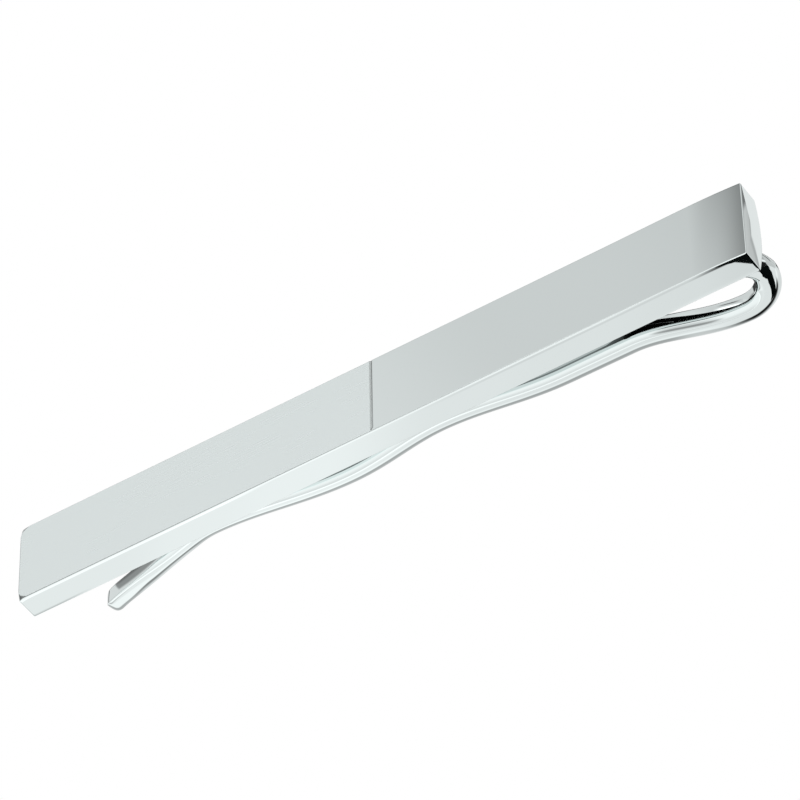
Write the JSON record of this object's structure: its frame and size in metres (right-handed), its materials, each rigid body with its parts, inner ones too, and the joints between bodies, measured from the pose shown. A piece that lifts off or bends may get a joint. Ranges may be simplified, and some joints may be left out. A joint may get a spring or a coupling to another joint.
{
  "type": "tie clip",
  "caption": "Slim metal tie clip: a flat-faced bar with an engraved cross line and a wave-formed spring wire soldered to its back.",
  "frame": {"origin": "under the middle of the bar, level with the lowest point of the spring's loop", "axes": "+X along the bar towards the end over the spring's loop, +Y across the bar, +Z out of the bar's front face"},
  "size_m": [0.05, 0.006, 0.007],
  "materials": {
    "bar_metal": "bright rhodium plate, satin on the free half of the front face and polished elsewhere",
    "spring_metal": "bright rhodium plate over spring brass, polished",
    "solder_metal": "plated silver solder, slightly dull and rippled"
  },
  "bodies": {
    "bar": {"front_bar": "bar_metal", "solder_fillet": "solder_metal", "spring_foot": "spring_metal", "spring_loop": "spring_metal"},
    "arm": {"spring_arm": "spring_metal"}
  },
  "joints": [
    {"name": "arm_flex", "type": "hinge", "parent": "bar", "child": "arm", "pos_m": [0.02178, 0, 0.00262], "axis": [0, -1, 0], "range_deg": [-0.8, 6], "stiffness_Nm_per_rad": 0.8, "deforming": ["spring_loop"]}
  ]
}
